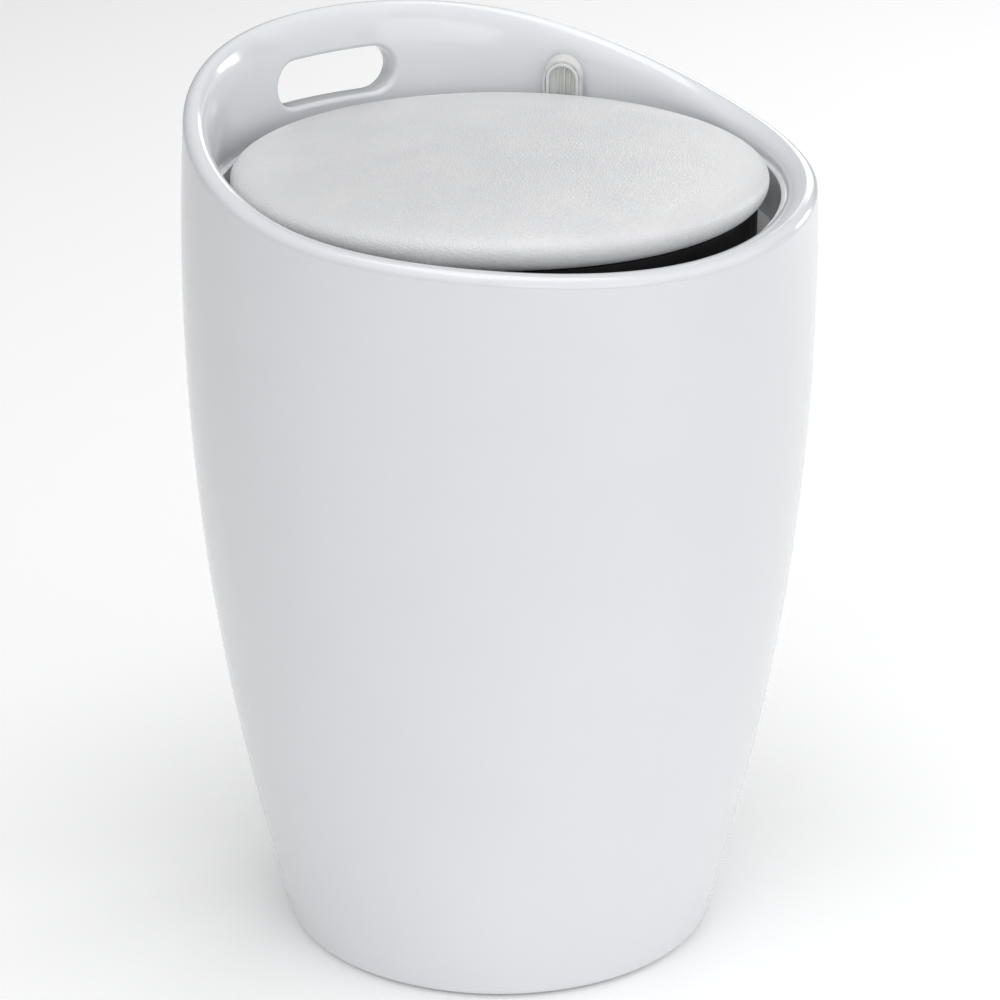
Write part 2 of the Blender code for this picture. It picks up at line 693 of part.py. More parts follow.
def build_body():
    build_outer_shell()
    build_rim_collar()
    build_base_plate()
    for number, centre in enumerate(circle_of(FOOT_COUNT, FOOT_CIRCLE_R), 1):
        build_foot(number, centre)
    head_seat = BASE_PLATE_BOTTOM - FIT_GAP
    tip = BASE_FLANGE_Z + SKIN + BASE_BOSS_HEIGHT - FIT_GAP
    for number, centre in enumerate(circle_of(BASE_SCREW_COUNT, BASE_SCREW_R, math.pi / 4), 1):
        build_screw(f"base_screw_{number}", centre, head_seat, tip)
    for place in HOOKS:
        build_hook(place)
        build_hook_washer(place)


def build_bag():
    build_bag_wall()
    build_bag_bottom()
    build_bag_hem()
    for place in HOOKS:
        build_bag_loop(place)


def build_lid():
    build_lid_cover()
    build_lid_foam()
    build_lid_board()
    build_lid_base()
    head_seat = LID_BASE_BOTTOM - FIT_GAP
    tip = BOARD_TOP - 3 * FIT_GAP
    for number, centre in enumerate(circle_of(LID_SCREW_COUNT, LID_SCREW_R), 1):
        build_screw(f"lid_screw_{number}", centre, head_seat, tip)


clear_scene()
build_body()
build_bag()
build_lid()
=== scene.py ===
"""Looks for the barrel-shaped laundry hamper with a padded seat lid.

Metres, +Z up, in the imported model's frame. Angles called theta are measured round the axis from the
back, so theta is 0 at +Y and pi at -Y. The two moulded shells, the seat, the bag, the hooks and the
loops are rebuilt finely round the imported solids, with the same sizes as the part's source.
"""

import math

import bmesh
import bpy
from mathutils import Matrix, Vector


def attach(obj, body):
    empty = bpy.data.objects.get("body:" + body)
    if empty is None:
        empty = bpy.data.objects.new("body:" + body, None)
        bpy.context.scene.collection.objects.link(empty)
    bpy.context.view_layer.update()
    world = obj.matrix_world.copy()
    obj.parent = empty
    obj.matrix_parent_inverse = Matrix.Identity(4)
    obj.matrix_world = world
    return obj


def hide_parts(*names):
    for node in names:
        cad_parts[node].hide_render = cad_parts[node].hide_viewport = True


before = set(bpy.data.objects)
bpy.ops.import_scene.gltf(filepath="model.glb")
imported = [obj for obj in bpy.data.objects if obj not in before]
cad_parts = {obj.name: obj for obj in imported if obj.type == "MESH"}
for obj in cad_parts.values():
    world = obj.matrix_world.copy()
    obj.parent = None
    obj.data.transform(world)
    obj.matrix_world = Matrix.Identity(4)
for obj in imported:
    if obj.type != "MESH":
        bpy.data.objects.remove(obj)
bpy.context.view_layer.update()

# ---------------------------------------------------------------- the part's own sizes

HEIGHT = 0.505
DIAMETER = 0.350
BASE_DIAMETER = 0.243
WIDEST_BELOW_TOP = 0.120
RIM_DROP_SIDE = 0.0485
RIM_DROP_FRONT = 0.069
RIM_SHOULDER = 0.0018
WALL = 0.0135
SKIN = 0.003
LIP_RADIUS = 0.0055
LIP_DROP = 0.012
LIP_DROP_BACK = 0.022        # the lip's roll is this much longer at the back
FIT_GAP = 0.0003
SLOT_WIDTH = 0.082
SLOT_HEIGHT = 0.027
SLOT_BELOW_TOP = 0.039
SLOT_FLANGE = 0.002
STEP_BELOW_CREST = 0.007
STEP_ABOVE_FRONT = 0.002
STEP_WIDTH = 0.003
SHELF_BELOW_FRONT = 0.027
SHELF_WIDTH = 0.016
MOUTH_LIP = 0.016
BOTTOM_CLEARANCE = 0.0015
BASE_FILLET = 0.006
BASE_FLANGE_Z = 0.010
BASE_FLANGE_WIDTH = 0.026
HOOK_ANGLE = math.radians(-52)
HOOK_BELOW_CREST = 0.018
HOOK_ABOVE_SHELF = 0.003
HOOK_RADIUS = 0.0099
HOOK_LEG = 0.009
HOOK_PAST_LOOP = 0.0006
HOOK_WALL = 0.002
LID_GAP = 0.0065
LID_CROWN = 0.020
LID_DEPTH = 0.0125
LID_BASE_THICKNESS = 0.002
LID_BASE_WALL = 0.002
LID_BASE_INSET = 0.006
LID_FOOT_HEIGHT = 0.020
LID_SKIRT_DEPTH = 0.010
LID_SKIRT_CLEARANCE = 0.003
COVER_THICKNESS = 0.0012
COVER_TUCK = 0.020
FABRIC = 0.0010
HEM_THICKNESS = 0.0015
HEM_GAP = 0.006
BAG_CLEARANCE = 0.003
BAG_BOTTOM_INSET = 0.0065
BAG_BOTTOM_Z = 0.030
TAPE = 0.0013

R_MAX = DIAMETER / 2
R_BASE = BASE_DIAMETER / 2
Z_WIDE = HEIGHT - WIDEST_BELOW_TOP
RIM_BACK = HEIGHT
RIM_SIDE = HEIGHT - RIM_DROP_SIDE
RIM_FRONT = HEIGHT - RIM_DROP_FRONT
SLOT_Z = HEIGHT - SLOT_BELOW_TOP
STEP_Z = RIM_FRONT + STEP_ABOVE_FRONT
SHELF_Z = RIM_FRONT - SHELF_BELOW_FRONT


def outer_radius(z):
    """Radius of the barrel's outside at height z: a parabola, widest at Z_WIDE."""
    return R_MAX - (R_MAX - R_BASE) * ((z - Z_WIDE) / Z_WIDE) ** 2


def rim_height(theta):
    """Height of the rim's crest, a smooth wave through the back, side and front heights."""
    level = (RIM_BACK + RIM_FRONT + 2 * RIM_SIDE) / 4
    swing = (RIM_BACK - RIM_FRONT) / 2
    flat = (RIM_BACK + RIM_FRONT - 2 * RIM_SIDE) / 4
    shoulder = RIM_SHOULDER * (1 - math.cos(4 * theta))
    return level + swing * math.cos(theta) + flat * math.cos(2 * theta) + shoulder


def step_height(theta):
    """Height of the inner step: level, but dipping at the front to stay under the lip."""
    low = rim_height(theta) - STEP_BELOW_CREST
    softness = 0.0015
    return -softness * math.log(math.exp(-low / softness) + math.exp(-STEP_Z / softness))


INNER_WALL_R = outer_radius(RIM_BACK - LIP_RADIUS) - WALL
WELL_R = INNER_WALL_R - STEP_WIDTH
MOUTH_R = WELL_R - SHELF_WIDTH
LID_R = WELL_R - LID_GAP
BAG_TOP_R = MOUTH_R - BAG_CLEARANCE
BAG_BOTTOM_R = R_BASE - BAG_BOTTOM_INSET
HEM_OUTER_R = WELL_R - HEM_GAP
HEM_BOTTOM = SHELF_Z + FIT_GAP
HEM_TOP = HEM_BOTTOM + HEM_THICKNESS
LID_FOOT_BOTTOM = HEM_TOP + FIT_GAP
LID_BASE_BOTTOM = LID_FOOT_BOTTOM + LID_FOOT_HEIGHT
LID_BASE_TOP = LID_BASE_BOTTOM + LID_BASE_THICKNESS
TUCK_BOTTOM = LID_BASE_TOP + FIT_GAP
LID_WIDE_Z = TUCK_BOTTOM + LID_DEPTH
BASE_FLANGE_R = outer_radius(BASE_FLANGE_Z) - BASE_FLANGE_WIDTH
LOOP_RADIUS = HOOK_RADIUS + FIT_GAP + TAPE
LOOP_NEAR_R = HEM_OUTER_R + FIT_GAP
HOOK_FRONT_R = LOOP_NEAR_R - HOOK_PAST_LOOP
HOOKS = {
    # name: direction, middle of the arch, the wall it is fixed to
    "back": (HOOK_ANGLE, rim_height(HOOK_ANGLE) - HOOK_BELOW_CREST - HOOK_RADIUS, INNER_WALL_R),
    "front": (HOOK_ANGLE + math.pi, SHELF_Z + HOOK_ABOVE_SHELF + HOOK_LEG, WELL_R),
}

# ---------------------------------------------------------------- sizes of the fine surface

ROUND = 320                  # columns round the barrel
SLOT_COLUMNS = 19            # columns each side of the slot's middle that its frame takes
SLOT_EDGE = 0.0028           # rounding of the slot's edge inside
SLOT_EDGE_OUT = 0.0050       # and outside, a wide soft flare
SLOT_NEAR_LOOPS = (0.15, 0.32, 0.5, 0.68, 0.85)  # loops from the block's border to the edge
SLOT_FAR_LOOPS = (0, 0.25, 0.5, 0.75)
SLOT_EDGE_STEPS = 8
SEAM = 0.00005               # hairline between the two shells at the lip
CORNER = 0.0008              # rounding of small moulded corners

# ---------------------------------------------------------------- mesh helpers


def at(theta, radius, z):
    """Point at an angle from the back, a radius and a height."""
    return (-radius * math.sin(theta), radius * math.cos(theta), z)


def arc(cx, cy, radius, start, end, steps):
    """Points on an arc, both ends included, angles in degrees."""
    angles = [math.radians(start + (end - start) * k / steps) for k in range(steps + 1)]
    return [(cx + radius * math.cos(a), cy + radius * math.sin(a)) for a in angles]


def spread(low, high, steps):
    return [low + (high - low) * k / steps for k in range(steps + 1)]


def finished(name, verts, faces, body, material, slot, crease=40):
    """Makes a piece that rides on a body, with outward faces, smooth except at creases."""
    mesh = bpy.data.meshes.new(name)
    mesh.from_pydata(verts, [], faces)
    shape = bmesh.new()
    shape.from_mesh(mesh)
    bmesh.ops.recalc_face_normals(shape, faces=shape.faces)
    shape.to_mesh(mesh)
    shape.free()
    mesh.shade_smooth()
    mesh.set_sharp_from_angle(angle=math.radians(crease))
    mesh.materials.append(material)
    made = bpy.data.objects.new(name, mesh)
    bpy.context.scene.collection.objects.link(made)
    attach(made, body)
    return made


def ring_mesh(section, count):
    """Vertices and faces of a ring with a closed cross-section; columns start at the back."""
    verts = []
    for j in range(count):
        theta = 2 * math.pi * j / count
        verts += [at(theta, r, z) for r, z in section(theta)]
    n = len(verts) // count
    faces = []
    for j in range(count):
        a, b = j * n, ((j + 1) % count) * n
        faces += [(a + i, a + (i + 1) % n, b + (i + 1) % n, b + i) for i in range(n)]
    return verts, faces, n


def turned_mesh(profile, count):
    """A solid turned about the axis; profile(theta) runs from the axis out and back to the axis."""
    first = profile(0)
    verts = [(0, 0, first[0][1]), (0, 0, first[-1][1])]
    n = len(first) - 2
    for j in range(count):
        theta = 2 * math.pi * j / count
        verts += [at(theta, r, z) for r, z in profile(theta)[1:-1]]
    faces = []
    for j in range(count):
        a, b = 2 + j * n, 2 + ((j + 1) % count) * n
        faces.append((0, a, b))
        faces += [(a + i, a + i + 1, b + i + 1, b + i) for i in range(n - 1)]
        faces.append((1, b + n - 1, a + n - 1))
    return verts, faces


# ---------------------------------------------------------------- the handle slot's frame


def slot_point(x, z, grow):
    """Where the ray from the slot's middle line through (x, z) meets its grown outline."""
    straight = (SLOT_WIDTH - SLOT_HEIGHT) / 2
    mid_x = max(-straight, min(straight, x))
    dx, dz = x - mid_x, z - SLOT_Z
    reach = (SLOT_HEIGHT / 2 + grow) / math.hypot(dx, dz)
    return mid_x + dx * reach, SLOT_Z + dz * reach


def block_border(n, rows):
    """Vertex numbers round a block of columns at the back; rows run from top to bottom."""
    columns = list(range(-SLOT_COLUMNS, SLOT_COLUMNS + 1))
    top, bottom = rows[0], rows[-1]
    path = [(j, top) for j in columns[:-1]]
    path += [(columns[-1], i) for i in rows[:-1]]
    path += [(j, bottom) for j in reversed(columns[1:])]
    path += [(columns[0], i) for i in reversed(rows[1:])]
    return [(j % ROUND) * n + i for j, i in path]


def outside_block(faces, n, rows):
    """Faces that are left when the block between these rows is taken out."""
    low, high = min(rows), max(rows)
    left = []
    for face in faces:
        j, i = divmod(face[0], n)
        in_columns = j < SLOT_COLUMNS or j >= ROUND - SLOT_COLUMNS
        if not (in_columns and low <= i < high):
            left.append(face)
    return left


def with_slot(section, near_rows, far_rows, near_r, far_r, middle_r, edge):
    """A ring with the handle slot through its wall.

    The near side is the one that shows, with a rounded edge. The slot's sides run in to the middle
    surface, where the shells meet, and a flange leads back to the far side.
    """
    verts, faces, n = ring_mesh(section, ROUND)
    near_border = block_border(n, near_rows)
    far_border = block_border(n, far_rows)
    faces = outside_block(outside_block(faces, n, near_rows), n, far_rows)
    points = [(verts[k][0], verts[k][2]) for k in near_border]
    far_points = [(verts[k][0], verts[k][2]) for k in far_border]
    loops = [near_border]

    def add_loop(places):
        loops.append(range(len(verts), len(verts) + len(places)))
        verts.extend(places)

    def on(radius, x, z, depth=0.0):
        return (x, math.sqrt(radius(x, z) ** 2 - x * x) + depth, z)

    way = 1 if middle_r(0, SLOT_Z) > near_r(0, SLOT_Z) else -1
    for share in SLOT_NEAR_LOOPS:
        places = []
        for x, z in points:
            sx, sz = slot_point(x, z, edge)
            places.append(on(near_r, x + (sx - x) * share, z + (sz - z) * share))
        add_loop(places)
    for k in range(SLOT_EDGE_STEPS + 1):
        angle = math.pi / 2 * k / SLOT_EDGE_STEPS
        grow, depth = edge * (1 - math.sin(angle)), edge * (1 - math.cos(angle))
        add_loop([on(near_r, *slot_point(x, z, grow), way * depth) for x, z in points])
    add_loop([on(middle_r, *slot_point(x, z, 0)) for x, z in points])
    add_loop([on(middle_r, *slot_point(x, z, SLOT_FLANGE)) for x, z in points])
    for share in SLOT_FAR_LOOPS:
        places = []
        for x, z in far_points:
            sx, sz = slot_point(x, z, SLOT_FLANGE)
            places.append(on(far_r, sx + (x - sx) * share, sz + (z - sz) * share))
        add_loop(places)
    loops.append(far_border)
    for a, b in zip(loops, loops[1:]):
        count = len(a)
        faces += [(a[i], a[(i + 1) % count], b[(i + 1) % count], b[i]) for i in range(count)]
    return verts, faces


def middle_radius(z):
    """Radius of the surface where the flanges of the two shells meet round the slot."""
    return (outer_radius(z) + INNER_WALL_R) / 2


# ---------------------------------------------------------------- materials

SEAT_DARK = (0.675, 0.678, 0.69)
SEAT_LIGHT = (0.72, 0.72, 0.727)
# The dark ends of the cloth and tape colours carry the painted shade between threads, and the yarn's
# slub.
COTTON_DARK = (0.45, 0.45, 0.43)
COTTON_LIGHT = (0.74, 0.74, 0.72)
COTTON_THREAD = 0.0009
TAPE_DARK = (0.46, 0.46, 0.45)
TAPE_LIGHT = (0.78, 0.78, 0.77)
TAPE_THREAD = 0.0006
WALL_WEAVE_R = 0.13          # where a thread round the axis has its true width
RING_WEAVE_R = 0.14


def new_material(name, colour, roughness, metallic=0.0, specular=0.5):
    made = bpy.data.materials.new(name)
    made.use_nodes = True
    shader = made.node_tree.nodes["Principled BSDF"]
    shader.inputs["Base Color"].default_value = (*colour, 1)
    shader.inputs["Roughness"].default_value = roughness
    shader.inputs["Metallic"].default_value = metallic
    shader.inputs["Specular IOR Level"].default_value = specular
    return made, made.node_tree, shader


def add(tree, kind, **values):
    node = tree.nodes.new(kind)
    for key, value in values.items():
        if key in node.inputs:
            node.inputs[key].default_value = value
        else:
            setattr(node, key, value)
    return node


def noise(tree, scale, detail=3.0, rough=0.5):
    """Noise in the object's own coordinates, in cycles per metre."""
    where = tree.nodes.get("Texture Coordinate") or tree.nodes.new("ShaderNodeTexCoord")
    made = add(tree, "ShaderNodeTexNoise", Scale=scale, Detail=detail, Roughness=rough)
    tree.links.new(where.outputs["Object"], made.inputs["Vector"])
    return made.outputs["Fac"]


def ranged(tree, value, low, high, from_low=0.3, from_high=0.7):
    made = add(tree, "ShaderNodeMapRange")
    made.inputs["From Min"].default_value = from_low
    made.inputs["From Max"].default_value = from_high
    made.inputs["To Min"].default_value = low
    made.inputs["To Max"].default_value = high
    tree.links.new(value, made.inputs["Value"])
    return made.outputs["Result"]


def tinted(tree, value, dark, light):
    """Colour between two, by a value from 0 to 1."""
    made = tree.nodes.new("ShaderNodeMix")
    made.data_type = "RGBA"
    made.inputs["A"].default_value = (*dark, 1)
    made.inputs["B"].default_value = (*light, 1)
    tree.links.new(value, made.inputs["Factor"])
    return made.outputs["Result"]


def bumped(tree, shader, layers):
    """Chains bump layers, each (height, distance in metres, strength), into the shader."""
    normal = None
    for height, distance, strength in layers:
        made = add(tree, "ShaderNodeBump", Distance=distance, Strength=strength)
        tree.links.new(height, made.inputs["Height"])
        if normal:
            tree.links.new(normal, made.inputs["Normal"])
        normal = made.outputs["Normal"]
    tree.links.new(normal, shader.inputs["Normal"])


def math_node(tree, operation, a, b=None):
    made = tree.nodes.new("ShaderNodeMath")
    made.operation = operation
    for socket, value in ((0, a), (1, b)):
        if value is None:
            continue
        if isinstance(value, (int, float)):
            made.inputs[socket].default_value = value
        else:
            tree.links.new(value, made.inputs[socket])
    return made.outputs[0]


def gloss_plastic(name, colour, roughness):
    """Injection-moulded gloss plastic: faint mottling, long shallow waves and fine rubs."""
    made, tree, shader = new_material(name, colour, roughness)
    mottle = ranged(tree, noise(tree, 9, 4), 0, 1)
    light = tuple(min(1, c * 1.012) for c in colour)
    dark = tuple(c * 0.985 for c in colour)
    tree.links.new(tinted(tree, mottle, dark, light), shader.inputs["Base Color"])
    rubs = ranged(tree, noise(tree, 60, 6, 0.65), roughness * 0.8, roughness * 1.35)
    tree.links.new(rubs, shader.inputs["Roughness"])
    shader.inputs["IOR"].default_value = 1.55
    bumped(tree, shader, [(noise(tree, 14, 2), 0.004, 0.05), (noise(tree, 900, 2), 0.00005, 0.08)])
    return made


def black_plastic(name):
    """Moulded black plastic with a spark-eroded grain."""
    made, tree, shader = new_material(name, (0.008, 0.008, 0.009), 0.6, specular=0.2)
    mottle = ranged(tree, noise(tree, 40, 4), 0, 1)
    shade = tinted(tree, mottle, (0.005, 0.005, 0.0055), (0.010, 0.010, 0.011))
    tree.links.new(shade, shader.inputs["Base Color"])
    tree.links.new(ranged(tree, noise(tree, 120, 5), 0.5, 0.68), shader.inputs["Roughness"])
    bumped(tree, shader, [(noise(tree, 1600, 3), 0.0001, 0.35)])
    return made


def rubber(name):
    """Dull rubber with a little dust on it."""
    made, tree, shader = new_material(name, (0.025, 0.025, 0.026), 0.85, specular=0.3)
    dust = ranged(tree, noise(tree, 220, 6, 0.7), 0, 1, 0.45, 0.75)
    shade = tinted(tree, dust, (0.02, 0.02, 0.021), (0.06, 0.06, 0.058))
    tree.links.new(shade, shader.inputs["Base Color"])
    tree.links.new(ranged(tree, dust, 0.75, 0.95, 0, 1), shader.inputs["Roughness"])
    bumped(tree, shader, [(noise(tree, 1200, 4), 0.0002, 0.4)])
    return made


def steel(name):
    """Zinc-plated steel, with fine turning marks and a mottled sheen."""
    made, tree, shader = new_material(name, (0.62, 0.62, 0.64), 0.3, metallic=1.0)
    patch = ranged(tree, noise(tree, 500, 4), 0, 1)
    shade = tinted(tree, patch, (0.52, 0.52, 0.53), (0.70, 0.70, 0.72))
    tree.links.new(shade, shader.inputs["Base Color"])
    tree.links.new(ranged(tree, noise(tree, 900, 5), 0.22, 0.42), shader.inputs["Roughness"])
    bumped(tree, shader, [(noise(tree, 3000, 3), 0.00005, 0.3)])
    return made


def seat_leather(name):
    """Coated fabric with a pebbled grain: small cells, soft creases and a faint sheen."""
    made, tree, shader = new_material(name, (0.80, 0.80, 0.80), 0.40)
    where = add(tree, "ShaderNodeTexCoord")
    where.name = "Texture Coordinate"
    cells = add(tree, "ShaderNodeTexVoronoi", Scale=520.0, feature="DISTANCE_TO_EDGE")
    warp = add(tree, "ShaderNodeTexNoise", Scale=300.0, Detail=2.0)
    tree.links.new(where.outputs["Object"], warp.inputs["Vector"])
    moved = tree.nodes.new("ShaderNodeVectorMath")
    moved.operation = "MULTIPLY_ADD"
    moved.inputs[1].default_value = (0.0012, 0.0012, 0.0012)
    tree.links.new(warp.outputs["Color"], moved.inputs[0])
    tree.links.new(where.outputs["Object"], moved.inputs[2])
    tree.links.new(moved.outputs["Vector"], cells.inputs["Vector"])
    pebble = ranged(tree, cells.outputs["Distance"], 0, 1, 0, 0.28)
    fine = noise(tree, 2400, 3)
    broad = noise(tree, 26, 4)
    tone = ranged(tree, broad, 0, 1)
    tree.links.new(tinted(tree, tone, SEAT_DARK, SEAT_LIGHT), shader.inputs["Base Color"])
    tree.links.new(ranged(tree, pebble, 0.50, 0.32, 0, 1), shader.inputs["Roughness"])
    bumped(tree, shader, [(broad, 0.0015, 0.15), (pebble, 0.00026, 0.55), (fine, 0.00005, 0.25)])
    shader.inputs["Sheen Weight"].default_value = 0.06
    shader.inputs["Sheen Roughness"].default_value = 0.4
    return made


def woven(name, dark, light, thread, along):
    """Plain weave, round and up a wall, round and across a ring, or along x and y, with painted shade
    where the weave lies low.
    """
    made, tree, shader = new_material(name, light, 0.85, specular=0.25)
    where = add(tree, "ShaderNodeTexCoord")
    where.name = "Texture Coordinate"
    parts = tree.nodes.new("ShaderNodeSeparateXYZ")
    tree.links.new(where.outputs["Object"], parts.inputs["Vector"])
    x, y, z = (parts.outputs[axis] for axis in "XYZ")
    if along == "wall":
        u = math_node(tree, "MULTIPLY", math_node(tree, "ARCTAN2", x, y), WALL_WEAVE_R)
        v = z
    elif along == "ring":
        u = math_node(tree, "MULTIPLY", math_node(tree, "ARCTAN2", x, y), RING_WEAVE_R)
        squares = [math_node(tree, "MULTIPLY", side, side) for side in (x, y)]
        v = math_node(tree, "POWER", math_node(tree, "ADD", *squares), 0.5)
    else:
        u, v = x, y
    turns = 2 * math.pi / thread
    warp_threads = math_node(tree, "SINE", math_node(tree, "MULTIPLY", u, turns))
    weft_threads = math_node(tree, "SINE", math_node(tree, "MULTIPLY", v, turns))
    weave = math_node(tree, "MULTIPLY", warp_threads, weft_threads)
    sides = [math_node(tree, "ABSOLUTE", threads) for threads in (warp_threads, weft_threads)]
    ribs = math_node(tree, "MAXIMUM", *sides)
    height = math_node(tree, "ADD", weave, ribs)
    slub = noise(tree, 180, 5, 0.6)
    # The colour darkens where the weave lies low: painted shade between the threads. The slub noise
    # is the yarn's own uneven tone.
    depth = ranged(tree, height, 0.55, 1, -0.5, 1.5)
    tone = math_node(tree, "MULTIPLY", depth, ranged(tree, slub, 0.7, 1))
    tree.links.new(tinted(tree, tone, dark, light), shader.inputs["Base Color"])
    tree.links.new(ranged(tree, slub, 0.8, 0.95), shader.inputs["Roughness"])
    shader.inputs["Sheen Weight"].default_value = 0.25
    shader.inputs["Sheen Roughness"].default_value = 0.5
    bumped(tree, shader, [(height, thread * 0.25, 0.5), (slub, 0.0004, 0.3)])
    return made


def plywood(name):
    """Plain plywood with its grain along x."""
    made, tree, shader = new_material(name, (0.6, 0.43, 0.26), 0.7)
    where = add(tree, "ShaderNodeTexCoord")
    where.name = "Texture Coordinate"
    stretch = tree.nodes.new("ShaderNodeMapping")
    stretch.inputs["Scale"].default_value = (6, 90, 900)
    tree.links.new(where.outputs["Object"], stretch.inputs["Vector"])
    grain = add(tree, "ShaderNodeTexNoise", Scale=1.0, Detail=6.0)
    tree.links.new(stretch.outputs["Vector"], grain.inputs["Vector"])
    tone = ranged(tree, grain.outputs["Fac"], 0, 1)
    shade = tinted(tree, tone, (0.42, 0.27, 0.14), (0.68, 0.50, 0.31))
    tree.links.new(shade, shader.inputs["Base Color"])
    tree.links.new(ranged(tree, tone, 0.6, 0.8, 0, 1), shader.inputs["Roughness"])
    bumped(tree, shader, [(tone, 0.0003, 0.4)])
    return made


WHITE = gloss_plastic("abs_gloss_white", (0.735, 0.75, 0.775), 0.13)
HOOK_WHITE = gloss_plastic("abs_hook_white", (0.70, 0.71, 0.715), 0.24)
# A darker, greenish grey copy of the hook's plastic for its web and ribs: painted shade inside the
# arch.
HOOK_PAINTED_SHADE = gloss_plastic("abs_hook_web_painted_shade", (0.60, 0.62, 0.595), 0.4)
BLACK = black_plastic("base_black_plastic")
RUBBER = rubber("foot_rubber_black")
STEEL = steel("screw_zinc_steel")
LEATHER = seat_leather("seat_leather_white")
CLOTH = woven("bag_cotton", COTTON_DARK, COTTON_LIGHT, COTTON_THREAD, "wall")
CLOTH_FLAT = woven("bag_cotton_bottom", COTTON_DARK, COTTON_LIGHT, COTTON_THREAD, "flat")
TAPE_CLOTH = woven("bag_tape_cotton", TAPE_DARK, TAPE_LIGHT, TAPE_THREAD, "ring")
PLYWOOD = plywood("seat_plywood")

# ---------------------------------------------------------------- the two shells

COLLAR_LIP = 8               # steps round the lip's outer quarter
COLLAR_UNDER = 4             # and round the same quarter underneath
COLLAR_ROWS = 20             # rows down the inner wall
COLLAR_ROWS_BELOW = 4        # of them, below the slot's frame
COLLAR_FAR_SKIP = 2          # rows above the slot's frame on the far side
OUTER_ROWS = 64
INSIDE_ROWS = 64
FOOT_STEPS = 8
SLOT_FRAME = 0.011           # how far the slot's frame reaches above and below the slot


def lip_drop(theta):
    """How far the lip's inner roll runs down: longest at the high back."""
    high = max(0.0, (rim_height(theta) - RIM_SIDE) / (RIM_BACK - RIM_SIDE))
    return min(LIP_DROP + LIP_DROP_BACK * high, rim_height(theta) - step_height(theta) - FIT_GAP)


def wall_radius(theta, z):
    """Radius of the collar's inner face, which rolls into the lip at the top."""
    crest = rim_height(theta)
    roll_r = outer_radius(crest - LIP_RADIUS) - LIP_RADIUS
    level = max(0.0, min(1.0, 1 - (crest - z) / lip_drop(theta)))
    return roll_r - (roll_r - INNER_WALL_R) * math.sqrt(1 - level * level)


def lip_curve(theta, depth, steps):
    """The lip, from its outer edge over the crest to the inner wall, at a depth from its face."""
    crest = rim_height(theta)
    roll_z = crest - LIP_RADIUS
    roll_r = outer_radius(roll_z) - LIP_RADIUS
    drop = min(LIP_DROP, crest - step_height(theta) - FIT_GAP)
    points = arc(roll_r, roll_z, LIP_RADIUS - depth, 0, 90, steps)
    across = roll_r - INNER_WALL_R - depth
    for k in range(1, 2 * steps + 1):
        angle = math.pi / 2 * k / (2 * steps)
        z = crest - depth - (drop - depth) * (1 - math.cos(angle))
        radius = roll_r - across * math.sin(angle) if depth else wall_radius(theta, z)
        points.append((radius, z))
    return points


def collar_section(theta):
    """The collar: rolled lip, inner wall, step, well, shelf and turned-down mouth."""
    step = step_height(theta)
    lip = lip_curve(theta, 0, COLLAR_LIP)
    top = lip[-1][1]
    wall = [(wall_radius(theta, z), z) for z in spread(top, step, COLLAR_ROWS)[1:]]
    ledge = arc(WELL_R + CORNER, step - CORNER, CORNER, 90, 180, 4)
    well = [(WELL_R, z) for z in spread(step - CORNER, SHELF_Z, 5)[1:]]
    mouth = arc(MOUTH_R + CORNER, SHELF_Z - CORNER, CORNER, 90, 180, 4)
    mouth_low = SHELF_Z - MOUTH_LIP
    mouth += [(MOUTH_R, mouth_low), (MOUTH_R + SKIN, mouth_low), (MOUTH_R + SKIN, SHELF_Z - SKIN)]
    back = [(WELL_R + SKIN, SHELF_Z - SKIN), (WELL_R + SKIN, step - SKIN)]
    under = lip_curve(theta, SKIN, COLLAR_UNDER)
    back_rows = spread(step - SKIN, under[-1][1], COLLAR_ROWS)[:-1]
    back_wall = [(INNER_WALL_R + SKIN, z) for z in back_rows]
    return lip + wall + ledge + well + mouth + back + back_wall + list(reversed(under))


def build_collar():
    first = 3 * COLLAR_LIP + 1
    near = list(range(first, first + COLLAR_ROWS - COLLAR_ROWS_BELOW))
    far_first = len(collar_section(0)) - (3 * COLLAR_UNDER + 1) - COLLAR_FAR_SKIP
    far = list(range(far_first, far_first - len(near), -1))

    def inner(x, z):
        return wall_radius(x / INNER_WALL_R, z)

    def skin(x, z):
        return INNER_WALL_R + SKIN

    def meet(x, z):
        return middle_radius(z) - FIT_GAP / 2

    verts, faces = with_slot(collar_section, near, far, inner, skin, meet, SLOT_EDGE)
    made = finished("collar", verts, faces, "body", WHITE, "shell_plastic", 50)
    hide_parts("rim_collar")


def outer_section(theta):
    """The barrel: outside up, inside down, bottom flange and skirt."""
    top = rim_height(theta) - LIP_RADIUS - SEAM
    foot = BOTTOM_CLEARANCE + BASE_FILLET
    outside = arc(outer_radius(foot) - BASE_FILLET, foot, BASE_FILLET, -90, 0, FOOT_STEPS)
    outside += [(outer_radius(z), z) for z in spread(foot, top, OUTER_ROWS)[1:]]
    flange_top = BASE_FLANGE_Z + SKIN
    inside = [(outer_radius(z) - SKIN, z) for z in spread(top, flange_top, INSIDE_ROWS)]
    flange = [(BASE_FLANGE_R, flange_top), (BASE_FLANGE_R, BASE_FLANGE_Z)]
    return outside + inside + flange + [(outer_radius(foot) - BASE_FILLET, BASE_FLANGE_Z)]


def build_outer():
    section = outer_section(0)
    split = FOOT_STEPS + OUTER_ROWS
    reach = SLOT_HEIGHT / 2 + SLOT_FRAME
    framed = [abs(z - SLOT_Z) < reach for r, z in section]
    near = [i for i in range(split, FOOT_STEPS, -1) if framed[i]]
    far = [i for i in range(split + 1, split + INSIDE_ROWS) if framed[i]][: len(near)]

    def outside(x, z):
        return outer_radius(z)

    def skin(x, z):
        return outer_radius(z) - SKIN

    def meet(x, z):
        return middle_radius(z) + FIT_GAP / 2

    verts, faces = with_slot(outer_section, near, far, outside, skin, meet, SLOT_EDGE_OUT)
    made = finished("barrel", verts, faces, "body", WHITE, "shell_plastic", 50)
    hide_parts("outer_shell")


# ---------------------------------------------------------------- hooks and loops

